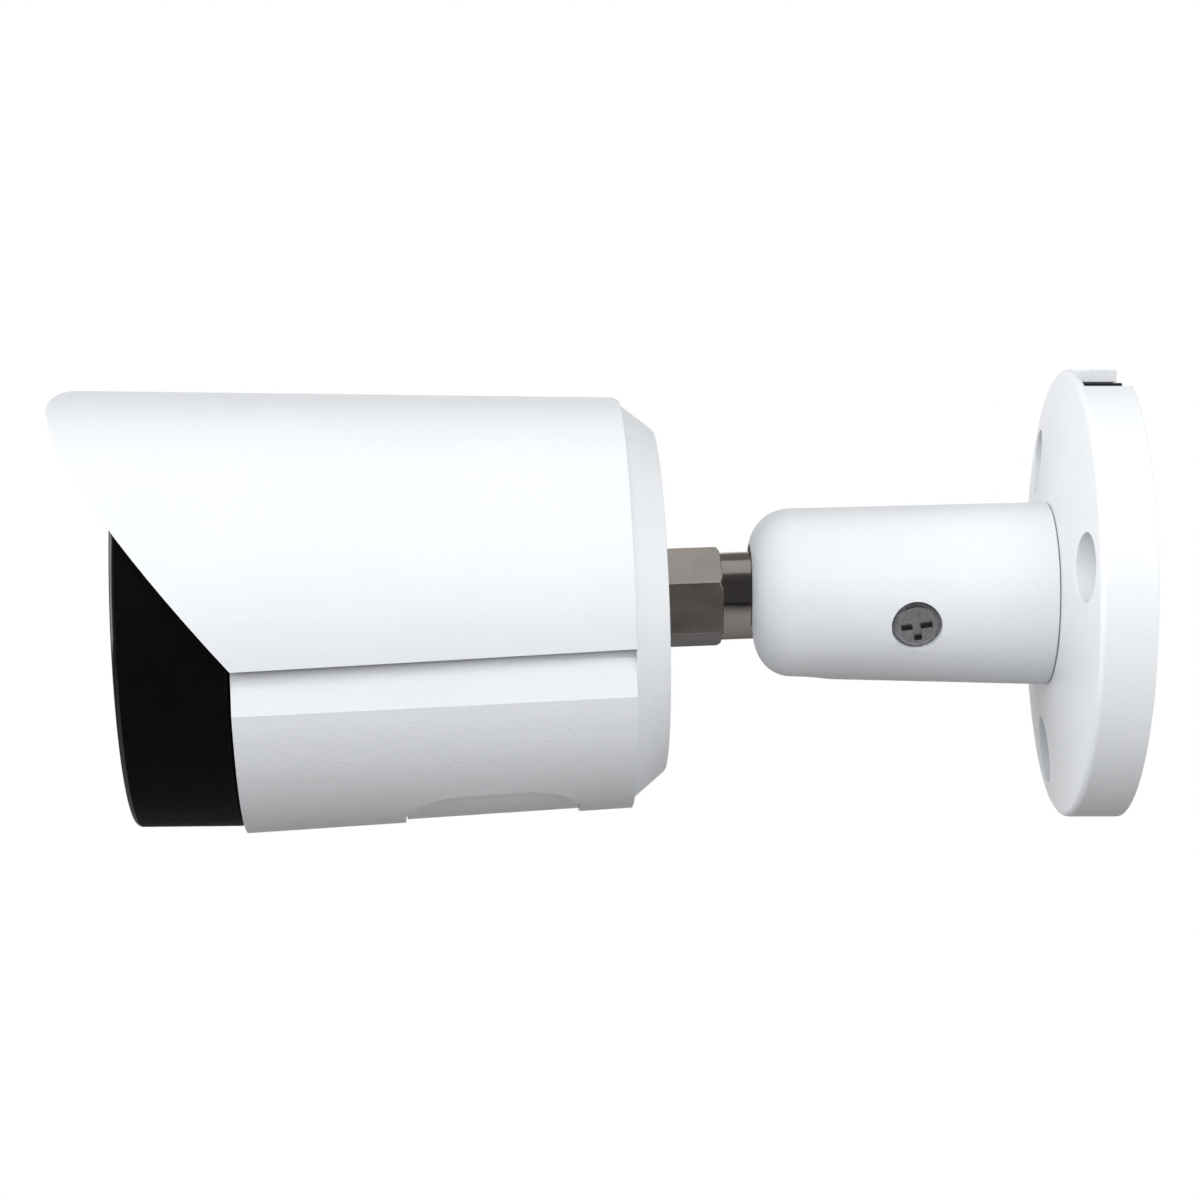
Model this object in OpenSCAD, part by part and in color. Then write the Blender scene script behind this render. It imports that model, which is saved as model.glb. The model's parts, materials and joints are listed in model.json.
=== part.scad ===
// Fixed bullet security camera on a ball-jointed wall bracket.
// +Z is up, the wall is the plane y = 0, and the camera points along -Y.
// The head is drawn about its own axis: "ahead" is the distance in front of the ball's centre.

/* [Wall flange] */
// Outer diameter of the flange
flange_d = 70; // [60:1:90]
// Depth of the flange's rim, from its back edge to the front crease
rim_h = 8.55; // [7:0.05:14]
// Height of the shallow cone between the rim and the neck
dome_h = 2.2; // [1.5:0.1:6]
// Thickness of the rim and of the front wall
flange_wall = 1.95; // [1.5:0.05:3]
// Rounding of the rim's front edge
rim_round = 1.0; // [0.4:0.1:1.6]
// Circle on which the wall screws lie
bolt_circle_d = 54; // [50:1:56]
// Diameter of the wall screw holes
bolt_hole_d = 4.6; // [3.5:0.1:5]
// Diameter of the counterbores for the wall screws
bolt_head_d = 10.5; // [8:0.1:10.5]
// Depth of the rubber pad behind the flange
pad_h = 6; // [4:0.1:6.5]
// How far the pad stands proud of the rim
pad_proud = 0.4; // [0.2:0.1:1]
// Width of the cable notch in the rim
notch_w = 13; // [8:0.5:15]
// Depth of the cable notch, from the rim's back edge
notch_h = 7.4; // [5:0.1:7.6]
// Direction of the cable notch, measured from straight up
notch_angle = 15; // [0:1:40]

/* [Neck] */
// Diameter of the neck where it meets the flange
neck_d_back = 28.6; // [28:0.2:36]
// Diameter of the neck at its front
neck_d_front = 26.6; // [26:0.2:34]
// Distance from the wall to the neck's front face
neck_reach = 57.9; // [54:0.1:80]
// Rounding of the neck's front edge
neck_round = 6.4; // [3:0.1:7]
// Diameter of the spigot that turns in the flange
spigot_d = 24; // [23:0.1:26]
// Diameter of the neck's bore
neck_bore_d = 20.2; // [20.1:0.1:22]
// Distance from the wall to the clamp screw
clamp_y = 33; // [26:0.5:34]
// Diameter of the clamp screw's thread
clamp_d = 4; // [3:0.5:5]
// Diameter of the clamp screw's head
clamp_head_d = 7; // [6:0.1:9]

/* [Ball joint] */
// Diameter of the ball
ball_d = 20; // [16.5:0.1:20]
// Diameter of the shaft between the ball and the head
shaft_d = 13.7; // [11:0.1:13.9]
// Size of the hexagon across its corners
hex_d = 16; // [13:0.1:18]
// Length of the hexagon
hex_h = 9.75; // [5:0.05:12]
// Distance from the ball's centre to the hexagon
hex_ahead = 12.5; // [12:0.1:16]
// Diameter of the shaft's end, on which the head turns
stub_d = 11; // [9:0.1:12]
// Diameter of the cable passage through the shaft
cable_d = 6.4; // [4:0.1:7]
// Angle between the bracket's tilt axis and the horizontal
rest_pan = 22; // [0:1:45]
// Angle by which the head droops
rest_tilt = 2.2; // [0:0.1:20]
// Angle by which the head leans towards the clamp screw's side
rest_lean = 2.4; // [0:0.1:3]
// How far the head's axis lies below the shaft's axis
head_drop = 0.3; // [0:0.1:1]

/* [Head] */
// Length of the housing
housing_h = 59.4; // [54:0.1:90]
// Diameter of the housing at its rear
housing_d_back = 64.3; // [60:0.1:80]
// Diameter of the housing at its front
housing_d_front = 67.5; // [62:0.1:84]
// Width of the flat sides, as a share of the diameter
flat_share = 0.9; // [0.86:0.01:0.96]
// Wall thickness of the housing
housing_wall = 2.2; // [1.6:0.1:3]
// Depth of the rear cap, from its rear face to the housing
cap_h = 5.35; // [4:0.05:9]
// Diameter of the rear cap's rear face
cap_d_back = 53.2; // [52:0.2:58]
// Diameter of the rear cap where it meets the housing
cap_d_front = 61.9; // [58:0.1:64]
// Depth of the front bezel, ahead of the housing
bezel_h = 16.95; // [14:0.05:24]
// Diameter of the bezel at the housing
bezel_d_back = 65.2; // [60:0.1:68]
// Diameter of the bezel at its front
bezel_d_front = 64.3; // [60:0.1:68]
// Diameter of the front glass
glass_d = 58; // [48:0.1:59]
// Thickness of the front glass
glass_h = 2; // [1:0.1:3]
// How far the glass lies behind the bezel's front edge
glass_recess = 1.5; // [0.5:0.1:3]

/* [Sunshield] */
// Diameter of the sunshield at its rear
shield_d_back = 63.7; // [62:0.1:68]
// Diameter of the sunshield at its tip
shield_d_front = 71.5; // [64:0.1:80]
// How far the sunshield reaches beyond the bezel
shield_overhang = 10.1; // [4:0.1:20]
// Thickness of the sunshield
shield_wall = 1.8; // [1.2:0.1:2.4]
// Gap between the sunshield and the housing
shield_gap = 0.5; // [0.3:0.1:1.5]
// Height of the sunshield's lower edge below the axis, at its rear
shield_drop = 6.95; // [3:0.05:10]

/* [Access cover] */
// Length of the cover, along the head
cover_l = 26.3; // [24:0.1:30]
// Width of the cover
cover_w = 32; // [30:0.5:36]
// Radius of the cover's corners
cover_r = 8; // [4:0.5:10]
// Distance from the housing's rear end to the cover's centre
cover_from_rear = 21.6; // [20:0.1:26]
// Thickness of the cover
cover_h = 2; // [1.5:0.1:2.5]
// How far the cover's face lies below the housing's surface
cover_sunk = 0.5; // [0.2:0.1:1]

/* [Optics and electronics] */
// Diameter of the lens barrel's thread
lens_thread_d = 12; // [10:0.5:12]
// Diameter of the lens barrel's front
lens_head_d = 16; // [14:0.5:18]
// Number of infrared lamps
led_count = 8; // [4:1:10]
// Diameter of one infrared lamp
led_d = 5; // [3:0.5:6]
// Distance from the edge of the lamp board to the circle of lamps
led_from_edge = 6.2; // [5:0.1:7]
// Thickness of the circuit boards
board_h = 1.6; // [1:0.1:2]

/* [Hidden] */
$fn = 96;
eps = 0.01;

// Clearances
running = 0.05;    // radial, between a pin and the bore that it turns in
moving = 0.3;      // between faces of pieces that move past each other
cut = 1;           // by which a cutting shape passes the face that it cuts

// Screws, as shares of the head's radius and height
cross_share = 1.2;
cross_depth = 0.6;
screw_edge = 0.6;
screw_top = 0.8;

// Colours
WHITE = [0.90, 0.91, 0.93];
BLACK = [0.05, 0.05, 0.055];
RUBBER = [0.09, 0.09, 0.09];
STEEL = [0.62, 0.62, 0.64];
NICKEL = [0.72, 0.70, 0.67];
BRASS = [0.75, 0.62, 0.35];
BOARD = [0.06, 0.26, 0.16];
CHIP = [0.12, 0.12, 0.13];
GLASS = [0.10, 0.09, 0.12, 0.8];

// Flange
flange_r = flange_d / 2;
rim_back = pad_proud;
rim_front = rim_back + rim_h;
hub_front = rim_front + dome_h;
hub_back = 5.5;
hub_r = spigot_d / 2 + 4.5;
inner_wall = rim_front - 2.6;
boss_r = bolt_head_d / 2 + 1.3;
boss_floor = rim_front - 4.2;
hub_land = 0.5;
pad_gap = 0.1;
pad_hub_gap = 0.5;
duct_inset = 2.5;
bolt_angles = [8, 128, 248];

// Neck
spigot_r = spigot_d / 2;
neck_bore_r = neck_bore_d / 2;
spigot_end = 2.4;
neck_gap = 0.15;    // between the neck and the face that it turns on
neck_back = hub_front + neck_gap;
ball_from_front = 7.9;
ball_y = neck_reach - ball_from_front;
neck_chamfer = 0.15;
front_cut = ball_from_front + cut;
ball_r = ball_d / 2;
shaft_r = shaft_d / 2;
lean_room = neck_d_front / 2 * sin(rest_lean);
slot_r = shaft_r + moving + lean_room;
relief_r = hex_d / 2 + moving + lean_room;
clip_h = 1;
washer_h = 1;
washer_rim = 3;
clip_rim = 2.2;
clip_opening = 4;
grommet_h = 3.2;
grommet_wall = 2;
grommet_sleeve_h = 4;
clip_y = hub_back - moving - washer_h - clip_h;
clip_groove = 0.8;
clamp_r = clamp_d / 2;
clamp_head_r = clamp_head_d / 2;
clamp_head_h = 1.8;
clamp_head_gap = 0.4;
clamp_chamfer = 0.5;
clamp_tip_h = 1;
clamp_tip_r = clamp_r / 2;
clamp_cross_turn = 8;
clamp_cross_share = 1.37;
clamp_seat_x = neck_d_front / 2 - 1.9;
seat_cable_d = cable_d + 3;
seat_pocket_h = 2.6;
seat_pocket_gap = 0.7;
shank_end = neck_bore_r - seat_pocket_h + moving + clamp_tip_h;
seat_reach = 0.62;    // share of the ball's radius, from its centre back to the seat's front
seat_front = ball_y - ball_r * seat_reach;
seat_web = 0.5;
seat_back = clamp_y - clamp_r - seat_pocket_gap - seat_web;

// Shaft and rear cap
hex_end = hex_ahead + hex_h;
hex_turn = 15;
hex_chamfer = 0.6;
flare_r = cable_d / 2 + 4;
flare_h = 8;
nut_rim = 3.6;
stub_r = stub_d / 2;
cap_back = hex_end;
housing_back = cap_back + cap_h;
plug_r = 19.5;
plug_h = 4.6;
cap_hub_r = stub_r + 4;
cap_hub_end = housing_back + plug_h + 0.6;
nut_h = 3.4;
stub_end = cap_hub_end + moving + washer_h + nut_h + 0.6;
stub_ring_ahead = cap_back + 4;
stub_ring_w = 1.2;
stub_groove_r = stub_r + running / 2 - stub_ring_w;
ring_w = 1.8;
cap_screw_circle_r = 23.1;
cap_screw_angles = [90, 210, 330];
cap_screw_r = 1.5;
cap_screw_head_r = 2.7;
cap_screw_h = 9;
cap_screw_sunk = 2.2;
cap_screw_head_h = 1.7;
cap_screw_gap = 0.2;
cap_floor = 3;
cap_plug_wall = 2;

// Housing
housing_front = housing_back + housing_h;
housing_r_back = housing_d_back / 2;
housing_r_front = housing_d_front / 2;
collar_h = 5.4;
front_bore_r = housing_r_front * flat_share - 1.9;
front_bore_h = 7;
plug_wall = 2.6;
plug_bore_r = front_bore_r - plug_wall;
bezel_gap = 0.4;
bezel_front = housing_front + bezel_h;
bezel_plug_h = 5;
bezel_chamfer = 0.4;
bezel_round = 0.8;
gasket_w = 2.2;
gasket_h = 0.8;
glass_chamfer = 0.3;
rim_flare = 1.4;
rim_flare_from_glass = 0.4;
shield_back = housing_back;
shield_front = bezel_front + shield_overhang;
shield_edge_slope = 1.15;
shield_screw_from_ends = 13;
shield_screw_stations =
    [housing_back + shield_screw_from_ends, housing_front - shield_screw_from_ends];
shield_screw_seat = 0.3;
shield_screw_sunk = shield_wall - shield_screw_seat;
shield_screw_below = 0.4;
shield_screw_head_h = shield_screw_sunk - shield_screw_below;
shield_thread_r = 1.2;
shield_screw_neck = 0.4;
shield_screw_head_r = 2.8;
shield_screw_hole_r = shield_thread_r + 0.5;
shield_tip_r = 3.4;
shield_tip_drop = 3.8;
shield_nose_drop = 0.3;
shield_curve_start = 0.2;
shield_bend = [2.4, 14.2];
shield_rear_cut = [1, 0.9];
lug_r = 3.4;
lug_angles = [30, 150, 270];
lug_h = 8;
lug_thread_r = 1.2;
pad_r_shield = 4.5;
opening_rim = 3;
long_cut = 20;

// Optical group
glass_front = bezel_front - glass_recess;
glass_back = glass_front - glass_h;
frame_front = housing_front - 9.6;
frame_h = 2;
frame_window_gap = 0.5;
frame_screw_r = 1.2;
frame_screw_h = 7;
frame_screw_head_r = 2.4;
frame_screw_head_h = 1.4;
frame_back = frame_front - frame_h;
frame_r = housing_r(frame_back) * flat_share - housing_wall - 0.3;
lug_circle_r = frame_r - 3.4;
pad_floor = frame_r + 0.6;
sensor_board_ahead = frame_back - 6;
sensor_board_w = 26;
post_r = 2.2;
post_hole_r = 0.9;
post_place = sensor_board_w / 2 - 2.1;
holder_w = 18;
holder_back = sensor_board_ahead;
holder_h = 8.4;
lens_thread_r = lens_thread_d / 2;
lens_head_r = lens_head_d / 2;
lens_back = holder_back + holder_h + 0.6;
holder_tube_h = 5;
holder_tube_wall = 1.6;
sensor_w = 9.2;
sensor_h = 1.4;
sensor_room_w = sensor_w + 2;
sensor_room_h = 3;
led_board_ahead = glass_back - 9.4;
led_board_r = glass_d / 2 - 2.8;
led_circle_r = led_board_r - led_from_edge;
led_rim = 0.3;
led_rim_h = 1;
led_h = 3.4;
sensor_outside = 3.5;
light_sensor_r = 1.6;
light_sensor_h = 2;
light_sensor_bevel = [0.4, 0.6];
lens_hole_r = lens_head_r + 2.6;
lens_front = glass_back - 3.4;
lens_head_back = lens_front - 7.5;
lens_wall = 1.6;
lens_chamfer = 0.6;
lens_cone_h = 2.6;
lens_bore_r = lens_thread_r - lens_wall;
lens_dome_r = lens_bore_r * 1.6;
shroud_gap = 0.5;
front_element = [2.4, 5.6];
middle_element = [8, 11];
rear_element = [1, 2.4];
filter_travel = 7;
filter_w = 6.4;
filter_frame_h = 1.4;
filter_frame_w = 7.4;
filter_gap = 0.2;
filter_bar = 0.5;
filter_h = 0.6;
filter_ahead = holder_back + 4.6;
coil_w = 5.5;
coil_l = 8;
coil_h = 7;
coil_lift = 1;
coil_flange_h = 1;
coil_inset = 0.4;
led_post_circle_r = led_board_r - 4;
led_post_angles = [90, 210, 330];

// Main board, below the axis
board_z = -housing_r_back + 12.7;
board_back = housing_back + collar_h + 2;
board_l = frame_back - board_back - 1.5;
board_top = board_z + board_h;
tray_z = board_top + 2.4;
tray_h = 2;
tray_inset = 1;
pillar_end = housing_r_back - 4.2;
board_post_from_end = 3.4;
board_gap = 0.4;
board_screw_r = 1.1;
board_screw_head_r = 2.1;
board_screw_head_h = 1.2;
board_screw_gap = 0.1;
processor_w = 14;
processor_h = 1.2;
processor_from_end = 3;
connector_w = 16;
connector_l = 7;
connector_wall = 1;
connector_floor = 0.5;
ribbon_w = 12;
ribbon_h = 0.3;
ribbon_foot = 7;
ribbon_top = -4;
connector_h = tray_z - board_top - 0.2;

// Access cover
cover_ledge = 2.3;
seal_h = 0.8;
ledge_h = 2.2;
ledge_depth = cover_sunk + cover_h + seal_h;
bay_r = housing_r_back - ledge_depth - ledge_h;
board_w = 2 * sqrt(pow(bay_r, 2) - pow(board_z - 1, 2)) - 1;
board_post_x = board_w / 2 - 3;
cover_ahead = housing_back + cover_from_rear;
cover_screw_r = 1.25;
cover_head_r = 2.7;
cover_head_h = 1;
cover_pit_r = 3.5;
cover_pit_h = 1.2;
cover_screw_h = 7;
cover_hole_gap = 0.3;
seal_inset = 0.2;
cover_block_top = -16;
pillar_r = 3;
card_w = 11;
card_l = 15;
card_h = 0.8;
card_x = -pillar_r - card_w / 2 - 0.6;
socket_w = card_w + 3;
socket_l = 13.4;
socket_h = 2;
socket_wall = 1;
card_lip = 0.2;
card_tail = 3;
socket_back = cover_ahead + cover_l / 2 - cover_ledge - 6;
card_z = board_z - 1.2;
reset_x = 8.5;
reset_ahead = cover_ahead - 5;
reset_base = 5;
reset_base_h = 1.6;
reset_pin_r = 1.4;
reset_pin_h = 2.2;
reset_roof = 0.1;
reset_travel = 0.6;
reset_spare = 0.2;
reset_pin_z = board_z - reset_roof - reset_travel - reset_spare - reset_pin_h;

// The housing's outer radius at a distance ahead of the ball
function housing_r(ahead) = housing_r_back
    + (housing_r_front - housing_r_back) * (ahead - housing_back) / housing_h;
// The sunshield's outer radius at a distance ahead of the ball
function shield_r(ahead) = (shield_d_back
    + (shield_d_front - shield_d_back) * (ahead - shield_back) / (shield_front - shield_back)) / 2;
// The z of the sunshield's lower edge
function shield_edge_z(ahead) = -shield_drop - (ahead - shield_back) * tan(shield_edge_slope);
// A point on the curve that p0, p1 and p2 control
function curve_point(p0, p1, p2, t) = (1 - t) * (1 - t) * p0 + 2 * t * (1 - t) * p1 + t * t * p2;
// A quarter round from angle a0 to angle a1 about a centre
function arc(centre, r, a0, a1, steps = 8) =
    [for (i = [0:steps]) centre + r * [cos(a0 + (a1 - a0) * i / steps), sin(a0 + (a1 - a0) * i / steps)]];

// Turns a shape drawn along +Z to point along -Y, at a distance from the wall
module from_wall(distance = 0) {
    translate([0, -distance, 0]) rotate([90, 0, 0]) children();
}

// The same in the head's own frame, ahead of the ball
module ahead_of_ball(ahead = 0) {
    translate([0, -ahead, 0]) rotate([90, 0, 0]) children();
}

// Puts the neck's own frame, whose tilt slot faces down, at its rest angle
module neck_frame() {
    rotate([0, rest_pan, 0]) children();
}

// Puts the head's own frame, whose origin is the ball's centre, where the bracket holds it
module head_frame() {
    translate([0, -ball_y, 0])
        rotate(a = rest_tilt, v = [cos(rest_pan), 0, -sin(rest_pan)])
            rotate([0, 0, rest_lean]) children();
}

// The head's shells lie a little below the shaft's axis
module shell_frame() {
    head_frame() translate([0, 0, -head_drop]) children();
}

// A cone along the head's axis between two stations, "inset" below the housing's surface
module housing_cone(back, front, inset = 0) {
    ahead_of_ball(back)
        cylinder(r1 = housing_r(back) - inset, r2 = housing_r(front) - inset, h = front - back);
}

// A cone along the head's axis between two stations, "inset" below the sunshield's surface
module shield_cone(back, front, inset = 0) {
    ahead_of_ball(back)
        cylinder(r1 = shield_r(back) - inset, r2 = shield_r(front) - inset, h = front - back);
}

// A block with the housing's tapering flat sides, "inset" inside them
module between_flats(back, front, inset = 0) {
    w0 = housing_r(back) * flat_share - inset;
    w1 = housing_r(front) * flat_share - inset;
    translate([0, 0, -housing_r_front])
        linear_extrude(2 * housing_r_front)
            polygon([[-w0, -back], [w0, -back], [w1, -front], [-w1, -front]]);
}

// A ring of round section about the head's axis
module o_ring(ahead, inner_r, w) {
    ahead_of_ball(ahead)
        rotate_extrude() translate([inner_r + w / 2, 0]) circle(d = w, $fn = 24);
}

// A plain ring along +Z
module ring(outer_r, inner_r, h) {
    difference() {
        cylinder(r = outer_r, h = h);
        translate([0, 0, -cut]) cylinder(r = inner_r, h = h + 2 * cut);
    }
}

// Cross recess for a screwdriver, cut down from z = 0
module cross_recess(span, depth) {
    for (a = [0, 90])
        rotate([0, 0, a])
            translate([-span / 2, -span / 8, -depth]) cube([span, span / 4, depth + cut]);
}

// A pan-head screw: its head's seat is at z = 0, its shank runs down
module pan_screw(shank_r, shank_h, head_r, head_h) {
    difference() {
        union() {
            translate([0, 0, -shank_h]) cylinder(r = shank_r, h = shank_h + eps);
            cylinder(r = head_r, h = head_h * screw_edge);
            translate([0, 0, head_h * screw_edge])
                cylinder(r1 = head_r, r2 = head_r * screw_top, h = head_h * (1 - screw_edge));
        }
        translate([0, 0, head_h]) cross_recess(head_r * cross_share, head_h * cross_depth);
    }
}

// The outline of the access cover, grown by a margin
module cover_outline(grow = 0) {
    l = cover_l + 2 * grow;
    w = cover_w + 2 * grow;
    r = max(cover_r + grow, 1);
    translate([0, -cover_ahead]) {
        square([w - 2 * r, l], center = true);
        square([w, l - 2 * r], center = true);
        for (x = [-1, 1], y = [-1, 1])
            translate([x * (w / 2 - r), y * (l / 2 - r)]) circle(r = r);
    }
}

// The cover's outline as a block below the main board
module cover_block(grow = 0) {
    translate([0, 0, -housing_r_front - cut])
        linear_extrude(housing_r_front + cut + cover_block_top) cover_outline(grow);
}

// ---- Bracket ----

module flange_profile() {
    polygon(concat(
        [[hub_r, hub_back], [spigot_r + running, hub_back], [spigot_r + running, hub_front],
         [neck_d_back / 2 + hub_land, hub_front]],
        arc([flange_r - rim_round, rim_front - rim_round], rim_round, 84, 0),
        [[flange_r, rim_back], [flange_r - flange_wall, rim_back],
         [flange_r - flange_wall, inner_wall], [hub_r, inner_wall]]));
}

module at_bolts() {
    for (a = bolt_angles)
        rotate([0, 0, a]) translate([bolt_circle_d / 2, 0, 0]) children();
}

module wall_flange() {
    color(WHITE) difference() {
        union() {
            from_wall() rotate_extrude() flange_profile();
            intersection() {
                from_wall(rim_back) at_bolts() cylinder(r = boss_r, h = inner_wall - rim_back + eps);
                from_wall() cylinder(r = flange_r - flange_wall / 2, h = rim_front);
            }
        }
        from_wall() at_bolts() {
            cylinder(d = bolt_hole_d, h = hub_front + cut);
            translate([0, 0, boss_floor]) cylinder(d = bolt_head_d, h = hub_front);
        }
        rotate([0, notch_angle, 0])
            translate([-notch_w / 2, -rim_back - notch_h, flange_r - 2 * flange_wall])
                cube([notch_w, notch_h + cut, 3 * flange_wall]);
    }
}

module back_pad() {
    pad_r = flange_r - flange_wall - pad_gap;
    slot_w = 2 * (boss_r + moving);
    duct_w = notch_w - 2 * duct_inset;
    color(RUBBER) difference() {
        from_wall() cylinder(r = pad_r, h = pad_h);
        from_wall(-cut) cylinder(r = hub_r + pad_hub_gap, h = pad_h + 2 * cut);
        from_wall(-cut) for (a = bolt_angles) rotate([0, 0, a]) {
            translate([bolt_circle_d / 2, 0, 0]) cylinder(d = slot_w, h = pad_h + 2 * cut);
            translate([bolt_circle_d / 2, -slot_w / 2, 0]) cube([flange_r, slot_w, pad_h + 2 * cut]);
        }
        rotate([0, notch_angle, 0])
            translate([-duct_w / 2, -pad_h - cut, 0]) cube([duct_w, pad_h + 2 * cut, flange_r]);
    }
}

module neck_outer() {
    neck_r = neck_d_front / 2;
    front_r = neck_r - neck_round;
    from_wall() rotate_extrude()
        polygon(concat(
            [[0, spigot_end], [spigot_r, spigot_end], [spigot_r, neck_back],
             [neck_d_back / 2 - neck_chamfer, neck_back], [neck_d_back / 2, neck_back + neck_chamfer]],
            arc([front_r, neck_reach - neck_round], neck_round, 0, 90, 14),
            [[0, neck_reach]]));
}

module neck() {
    color(WHITE) neck_frame() difference() {
        neck_outer();
        // Bore from the wall to the ball
        from_wall(-cut) cylinder(r = neck_bore_r, h = ball_y + cut);
        // Socket, front opening and the slot that the shaft swings down through
        translate([0, -ball_y, 0]) sphere(r = ball_r + running);
        from_wall(ball_y) cylinder(r = slot_r, h = front_cut);
        translate([-slot_r, -ball_y - front_cut, -neck_d_back])
            cube([2 * slot_r, front_cut, neck_d_back]);
        translate([0, -ball_y, -neck_d_back]) cylinder(r = slot_r, h = neck_d_back);
        // Relief round the slot, which the hexagon needs when the shaft points down
        translate([0, -ball_y, -neck_d_back]) cylinder(r = relief_r, h = neck_d_back - hex_ahead + moving);
        translate([-relief_r, -ball_y - front_cut, -neck_d_back])
            cube([2 * relief_r, front_cut, neck_d_back - hex_ahead + moving]);
        // Clamp screw's thread and recess
        translate([0, -clamp_y, 0]) rotate([0, 90, 0]) {
            cylinder(r = clamp_r + running, h = neck_d_back);
            translate([0, 0, clamp_seat_x - running])
                cylinder(r = clamp_head_r + clamp_head_gap, h = neck_d_back);
        }
        // Groove for the retaining ring
        from_wall(clip_y) ring(spigot_r + cut, spigot_r - clip_groove, clip_h);
    }
}

module neck_washer() {
    color(STEEL) neck_frame() from_wall(clip_y + clip_h) ring(spigot_r + washer_rim, spigot_r, washer_h);
}

module neck_retaining_ring() {
    color(STEEL) neck_frame() from_wall(clip_y) difference() {
        ring(spigot_r + clip_rim, spigot_r - clip_groove, clip_h);
        translate([-clip_opening / 2, 0, -cut]) cube([clip_opening, 2 * spigot_r, clip_h + 2 * cut]);
    }
}

module cable_grommet() {
    color(RUBBER) neck_frame() from_wall(spigot_end) {
        ring(neck_bore_r, cable_d / 2, grommet_h);
        translate([0, 0, grommet_h - eps])
            ring(cable_d / 2 + grommet_wall, cable_d / 2, grommet_sleeve_h);
    }
}

module clamp_screw() {
    color(STEEL) neck_frame() translate([0, -clamp_y, 0]) rotate([0, 90, 0]) {
        difference() {
            union() {
                translate([0, 0, shank_end]) cylinder(r = clamp_r, h = clamp_seat_x - shank_end + eps);
                translate([0, 0, shank_end - clamp_tip_h])
                    cylinder(r1 = clamp_tip_r, r2 = clamp_r, h = clamp_tip_h + eps);
                translate([0, 0, clamp_seat_x])
                    cylinder(r = clamp_head_r, h = clamp_head_h - clamp_chamfer);
                translate([0, 0, clamp_seat_x + clamp_head_h - clamp_chamfer - eps])
                    cylinder(r1 = clamp_head_r, r2 = clamp_head_r - clamp_chamfer, h = clamp_chamfer);
            }
            translate([0, 0, clamp_seat_x + clamp_head_h]) rotate([0, 0, clamp_cross_turn])
                cross_recess(clamp_head_r * clamp_cross_share, clamp_head_h * cross_depth);
        }
    }
}

module pressure_seat() {
    color(BRASS) neck_frame() difference() {
        from_wall(seat_back) cylinder(r = neck_bore_r - running, h = seat_front - seat_back);
        translate([0, -ball_y, 0]) sphere(r = ball_r + running);
        from_wall(seat_back - cut) cylinder(d = seat_cable_d, h = seat_front - seat_back + 2 * cut);
        translate([0, -ball_y, -neck_d_back]) cylinder(r = slot_r, h = neck_d_back);
        translate([0, -clamp_y, 0]) rotate([0, 90, 0]) translate([0, 0, neck_bore_r - seat_pocket_h]) {
            cylinder(r1 = clamp_tip_r + seat_pocket_gap, r2 = clamp_r + seat_pocket_gap,
                h = clamp_tip_h + eps);
            translate([0, 0, clamp_tip_h]) cylinder(r = clamp_r + seat_pocket_gap, h = seat_pocket_h);
        }
    }
}

module ball_shaft() {
    color(NICKEL) head_frame() difference() {
        union() {
            ahead_of_ball() sphere(r = ball_r);
            ahead_of_ball(ball_r / 2) cylinder(r = shaft_r, h = hex_ahead - ball_r / 2 + eps);
            intersection() {
                ahead_of_ball(hex_ahead) rotate([0, 0, hex_turn]) cylinder(d = hex_d, h = hex_h, $fn = 6);
                ahead_of_ball(hex_ahead)
                    cylinder(r1 = hex_d / 2 - hex_chamfer, r2 = hex_d / 2 - hex_chamfer + hex_h, h = hex_h);
            }
            ahead_of_ball(hex_end - eps) cylinder(r = stub_r, h = stub_end - hex_end + eps);
        }
        ahead_of_ball(-ball_r - cut) cylinder(d = cable_d, h = ball_r + stub_end + 2 * cut);
        ahead_of_ball(-ball_r - cut) cylinder(r1 = flare_r, r2 = cable_d / 2, h = flare_h);
        ahead_of_ball(stub_ring_ahead - stub_ring_w / 2) ring(stub_r + cut, stub_groove_r, stub_ring_w);
    }
}

module shaft_o_ring() {
    color(RUBBER) head_frame() o_ring(stub_ring_ahead, stub_groove_r, stub_ring_w);
}

module shaft_washer() {
    color(BRASS) head_frame() ahead_of_ball(cap_hub_end + moving)
        ring(stub_r + washer_rim, stub_r, washer_h);
}

module shaft_nut() {
    color(STEEL) head_frame() ahead_of_ball(cap_hub_end + moving + washer_h) difference() {
        cylinder(r = stub_r + nut_rim, h = nut_h, $fn = 6);
        translate([0, 0, -cut]) cylinder(r = stub_r, h = nut_h + 2 * cut);
    }
}

// ---- Head: shell ----

module at_cap_screws() {
    for (a = cap_screw_angles)
        rotate([0, 0, a]) translate([cap_screw_circle_r, 0, 0]) children();
}

module rear_cap() {
    color(WHITE) shell_frame() difference() {
        union() {
            ahead_of_ball(cap_back) cylinder(d1 = cap_d_back, d2 = cap_d_front, h = cap_h);
            ahead_of_ball(housing_back - eps) cylinder(r = plug_r, h = plug_h + eps);
            translate([0, 0, head_drop])
                ahead_of_ball(housing_back - eps) cylinder(r = cap_hub_r, h = cap_hub_end - housing_back);
        }
        difference() {
            ahead_of_ball(cap_back + cap_floor) cylinder(r = plug_r - cap_plug_wall, h = cap_h + plug_h);
            translate([0, 0, head_drop]) ahead_of_ball(cap_back) cylinder(r = cap_hub_r, h = stub_end);
        }
        translate([0, 0, head_drop]) ahead_of_ball(cap_back - cut)
            cylinder(r = stub_r + running, h = stub_end);
        ahead_of_ball(cap_back) at_cap_screws() {
            translate([0, 0, -cut]) cylinder(r = cap_screw_r + cap_screw_gap, h = cap_h + 2 * cut);
            translate([0, 0, -cut]) cylinder(r = cap_screw_head_r + moving, h = cap_screw_sunk + cut);
        }
        ahead_of_ball(housing_back + plug_h / 2 - ring_w / 2)
            ring(plug_r + cut, plug_r + running - ring_w, ring_w);
    }
}

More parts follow.
